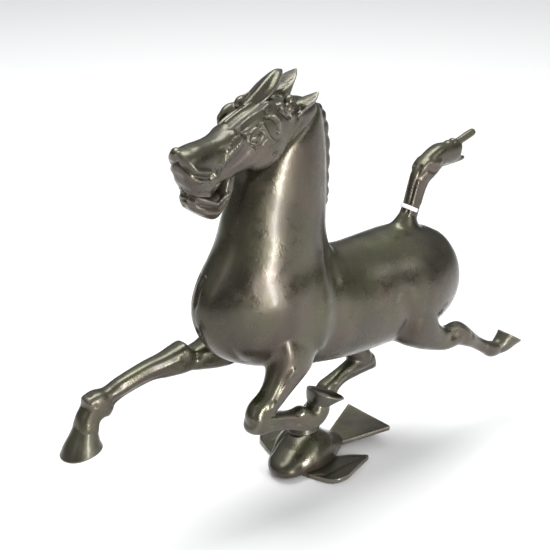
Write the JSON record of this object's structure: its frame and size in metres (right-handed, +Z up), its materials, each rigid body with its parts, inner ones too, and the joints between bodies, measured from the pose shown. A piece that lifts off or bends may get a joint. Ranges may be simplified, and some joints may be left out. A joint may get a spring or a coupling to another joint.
{
  "type": "horse statuette",
  "caption": "Bronze statuette of a galloping horse, head turned and tail raised, poised with one hind hoof on the back of a flying bird that serves as its base",
  "frame": {"origin": "on the flat underside of the bird, below its back where the horse's hoof stands", "axes": "+X the way the horse gallops, +Y the horse's left, +Z up"},
  "size_m": [0.4399, 0.112, 0.3476],
  "materials": {
    "bronze": "cast bronze with a dark olive-brown satin patina",
    "bronze_hoof": "cast bronze, darker satin patina",
    "white_tie": "matt white tie",
    "steel": "plain turned steel",
    "brass": "plain drawn brass"
  },
  "bodies": {
    "root": {"torso": "bronze", "belly_plug": "bronze", "neck": "bronze", "neck_sleeve": "steel", "head": "bronze", "head_sleeve": "steel", "lower_jaw": "bronze", "tongue": "bronze_hoof", "left_ear": "bronze", "right_ear": "bronze", "forelock": "bronze", "tail": "bronze", "tail_tie": "white_tie", "right_foreleg": "bronze", "right_fore_hoof": "bronze_hoof", "left_forearm": "bronze", "left_fore_cannon": "bronze", "left_fore_hoof": "bronze_hoof", "left_hind_leg": "bronze", "left_hind_hoof": "bronze_hoof", "right_hind_leg": "bronze", "right_hind_hoof": "bronze_hoof", "leg_dowels": "steel", "joint_pins": "brass", "support_rod": "steel", "rod_nut": "steel", "bird_body": "bronze", "bird_left_wing": "bronze", "bird_right_wing": "bronze", "bird_tail": "bronze"}
  },
  "joints": []
}
